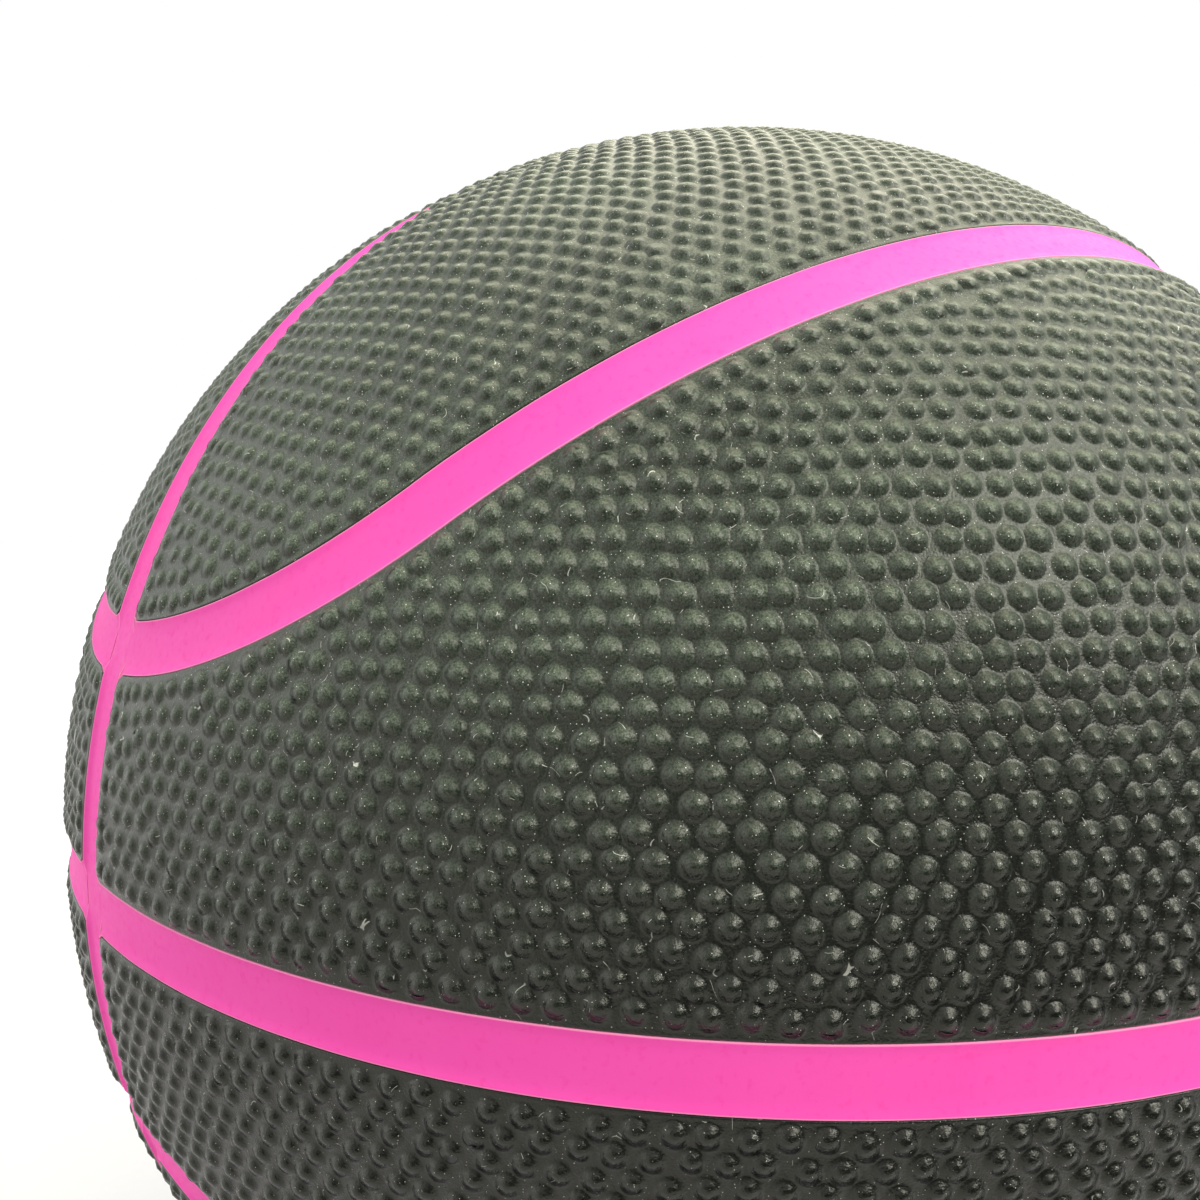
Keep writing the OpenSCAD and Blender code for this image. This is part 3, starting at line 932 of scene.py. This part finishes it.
def grow(name, mesh, tree, values):
    """Runs a Geometry Nodes tree on a mesh and leaves its result as a plain mesh object."""
    piece = bpy.data.objects.new(name, mesh)
    bpy.context.scene.collection.objects.link(piece)
    modifier = piece.modifiers.new("grow", "NODES")
    modifier.node_group = tree
    for socket in tree.interface.items_tree:
        if socket.name in values:
            modifier[socket.identifier] = values[socket.name]
    seen = piece.evaluated_get(bpy.context.evaluated_depsgraph_get())
    grown = bpy.data.meshes.new_from_object(seen)
    piece.modifiers.clear()
    piece.data = grown
    grown.name = name
    bpy.data.meshes.remove(mesh)
    return piece


def point_outwards(piece):
    """Turns a closed mesh whose faces all point inwards."""
    mesh = piece.data
    mesh.calc_loop_triangles()
    corners = np.zeros(len(mesh.loop_triangles) * 3, np.int32)
    mesh.loop_triangles.foreach_get("vertices", corners)
    spots = np.zeros(len(mesh.vertices) * 3, np.float32)
    mesh.vertices.foreach_get("co", spots)
    a, b, c = spots.reshape(-1, 3)[corners].reshape(-1, 3, 3).transpose(1, 0, 2).astype(float)
    if (np.cross(a, b) * c).sum() < 0:
        mesh.flip_normals()


def settle_piece(piece, node, body="ball"):
    """Puts a piece on its body in place of its CAD node."""
    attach(piece, body)
    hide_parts(node)


black_rubber = moulded_black_rubber()
pink_rubber = moulded_pink_rubber()

panel_tree = pebbled_panel_tree(black_rubber)
panel_values = {
    "Ground radius": GROUND_R * MM,
    "Inner radius": COVER_IN_R * MM,
    "Margin": MARGIN * MM,
    "Pebble radius": PEBBLE_R * MM,
    "Pebble height": PEBBLE_H * MM,
}
loop_middle = (0.0, math.sin(LOOP_TILT / 2), math.cos(LOOP_TILT / 2))
band_turn = (LOOP_TILT + math.pi / 2) / 2
band_middle = (0.0, math.sin(band_turn), math.cos(band_turn))
loop_start = (0.0, math.sin(LOOP_TILT - START_TURN), math.cos(LOOP_TILT - START_TURN))
band_start = (0.0, math.sin(LOOP_TILT + START_TURN), math.cos(LOOP_TILT + START_TURN))
hole_turn = VALVE_TILT + (STEM_HOLE_R + MARGIN) / BALL_R
hole_start = (0.0, math.sin(hole_turn), math.cos(hole_turn))
off_run = (0.0, -math.cos(LOOP_TILT), math.sin(LOOP_TILT))
off_equator = (0.0, 0.0, 1.0)
plans = {
    "loop": panel_plan(depth_in_loop_panel, loop_middle, off_run, [loop_start], 11),
    "band": panel_plan(depth_in_band_panel, band_middle, off_equator, [band_start], 12),
    "valve": panel_plan(depth_in_valve_panel, band_middle, off_equator, [band_start, hole_start], 13),
}
SIDES = (("front", -1.0), ("back", 1.0))
LEVELS = (("top", 1.0), ("bottom", -1.0))
for level_name, level in LEVELS:
    for side_name, side in SIDES:
        for kind in ("loop", "band"):
            node = f"panel_{kind}_{level_name}_{side_name}"
            has_valve = node == "panel_band_bottom_back"
            plan = plans["valve" if has_valve else kind]
            lattice = panel_lattice("lattice_" + node, plan, side, level)
            panel = grow("pebbled_" + node, lattice, panel_tree, dict(panel_values, Seed=len(node)))
            settle_piece(panel, node)

strip_tree = channel_strip_tree(pink_rubber)
section = strip_section()
strip_values = {
    "Section": section,
    "Half width": RIM_HALF * MM,
    "Ground radius": GROUND_R * MM,
    "Wobble": STRIP_WOBBLE * MM,
    "Wobble scale": per_metre(WOBBLE_SIZE),
}
seams = [("strip_ring", ring_line(), (1.0, 1.0, 1.0), True)]
for side_name, side in SIDES:
    seams.append((f"strip_equator_{side_name}", equator_line(), (1.0, side, 1.0), False))
    for level_name, level in LEVELS:
        seams.append((f"strip_loop_{level_name}_{side_name}", loop_line(), (1.0, side, level), False))
for node, line, flip, closed in seams:
    seam = seam_line_mesh("seam_" + node, line, np.array(flip), closed)
    extra = RING_DEPTH * MM if closed else 0.0
    strip = grow("dished_" + node, seam, strip_tree, dict(strip_values, **{"Extra depth": extra}))
    point_outwards(strip)
    settle_piece(strip, node)
bpy.data.objects.remove(section)

# Carried-over layers and valve

for node, finish in (
    ("carcass", plain_layer("calendered_carcass_rubber", "#2b2724", "#38332f", 14, 0.6, 0.6, 0.75)),
    ("winding", wound_nylon()),
    ("bladder", plain_layer("butyl_bladder_rubber", "#141414", "#1d1d1d", 20, 0.8, 0.35, 0.5)),
    ("valve_housing", plain_layer("moulded_valve_rubber", "#161613", "#23241f", 3, 0.15, 0.42, 0.6)),
    ("valve_plug", plain_layer("soft_plug_rubber", "#1f1f1d", "#2d2d2a", 2, 0.12, 0.48, 0.64)),
):
    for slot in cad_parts[node].material_slots:
        slot.material = finish

# Stage, light and camera


def camera_sees(tree):
    """One for rays from the camera, reflections and glass, nought for the light that falls on things."""
    path = add(tree, "ShaderNodeLightPath").outputs
    straight = add(
        tree, "ShaderNodeMath", {0: path["Is Camera Ray"], 1: path["Is Glossy Ray"]}, operation="MAXIMUM",
    ).outputs[0]
    return add(
        tree, "ShaderNodeMath", {0: straight, 1: path["Is Transmission Ray"]}, operation="MAXIMUM",
    ).outputs[0]


def stage_sheet(name, corners, material):
    """Flat sheet that stands round the ball."""
    mesh = bpy.data.meshes.new(name)
    mesh.from_pydata(corners, [], [(0, 1, 2, 3)])
    mesh.materials.append(material)
    sheet = bpy.data.objects.new(name, mesh)
    bpy.context.scene.collection.objects.link(sheet)
    return sheet


# Pale paper floor: keeps the ball's shadow and fades to white further off
paper, floor_tree, floor_place = new_material("matt_pale_paper")
fibre = add(floor_tree, "ShaderNodeTexNoise", {"Vector": floor_place, "Scale": per_metre(2), "Detail": 3.0})
fibred = add(
    floor_tree, "ShaderNodeMix",
    {0: fibre.outputs[0], 6: linear("#a6a6a6"), 7: linear("#acacac")}, data_type="RGBA",
)
off_middle = add(floor_tree, "ShaderNodeVectorMath", {0: floor_place}, operation="LENGTH").outputs["Value"]
whiten = add(floor_tree, "ShaderNodeMapRange", {0: off_middle, 1: 0.3, 2: 1.5, 3: 0.55, 4: 1.0}).outputs[0]
glow = add(floor_tree, "ShaderNodeMath", {0: camera_sees(floor_tree), 1: whiten}, operation="MULTIPLY")
finish_material(floor_tree, {
    "Base Color": fibred.outputs[2], "Roughness": 0.9,
    "Emission Color": (1.0, 1.0, 1.0, 1.0), "Emission Strength": glow.outputs[0],
})
low = -BALL_R * MM
reach = 6.0
stage_sheet(
    "studio_floor",
    [(-reach, -reach, low), (reach, -reach, low), (reach, reach, low), (-reach, reach, low)], paper,
)

# White studio all round, soft in what it lights
world = bpy.data.worlds.new("white_studio")
bpy.context.scene.world = world
world.use_nodes = True
sky_tree = world.node_tree
sky_tree.nodes.clear()
fill = add(sky_tree, "ShaderNodeMapRange", {0: camera_sees(sky_tree), 1: 0.0, 2: 1.0, 3: 0.6, 4: 1.0})
sky = add(sky_tree, "ShaderNodeBackground", {"Color": (1.0, 1.0, 1.0, 1.0), "Strength": fill.outputs[0]})
add(sky_tree, "ShaderNodeOutputWorld", {"Surface": sky.outputs[0]})

for name, place, size, power, tint in (
    ("top_soft_box", (0.45, 0.12, 0.95), 1.2, 15.0, (1.0, 0.93, 0.72)),
    ("right_soft_box", (0.09, -0.6, 0.44), 0.34, 4.2, (1.0, 0.985, 0.95)),
    ("left_soft_box", (-1.2, 0.8, 0.6), 1.5, 9.5, (1.0, 1.0, 1.0)),
):
    light = bpy.data.lights.new(name, "AREA")
    light.shape = "SQUARE"
    light.size = size
    light.energy = power
    light.color = tint
    lamp = bpy.data.objects.new(name, light)
    lamp.location = place
    lamp.rotation_euler = (-Vector(place)).to_track_quat("-Z", "Y").to_euler()
    bpy.context.scene.collection.objects.link(lamp)

camera_data = bpy.data.cameras.new("camera")
camera_data.lens = 28.84
camera_data.sensor_width = 36.0
camera_data.clip_start = 0.005
camera = bpy.data.objects.new("camera", camera_data)
camera.location = (-0.14252, -0.13236, 0.04875)
looking = Vector((0.648442, 0.756061, -0.088854))
camera.rotation_euler = looking.to_track_quat("-Z", "Y").to_euler()
bpy.context.scene.collection.objects.link(camera)
bpy.context.scene.camera = camera

# Dark card standing in front, seen in reflections alone: it deepens the low domes
card_black, card_tree, _ = new_material("matt_black_card")
finish_material(card_tree, {"Base Color": linear("#0c0c0c"), "Roughness": 0.9})
ahead = Vector((math.cos(CARD_TURN), math.sin(CARD_TURN), 0.0))
aside = Vector((math.sin(CARD_TURN), -math.cos(CARD_TURN), 0.0))
corners = []
for wide, height in ((-CARD_HALF, low), (CARD_HALF, low), (CARD_HALF, CARD_TOP), (-CARD_HALF, CARD_TOP)):
    corners.append(ahead * CARD_AWAY + aside * wide + Vector((0.0, 0.0, height)))
card = stage_sheet("dark_card", corners, card_black)
card.visible_camera = False
card.visible_diffuse = False
card.visible_shadow = False
bpy.context.scene.view_settings.view_transform = "Standard"
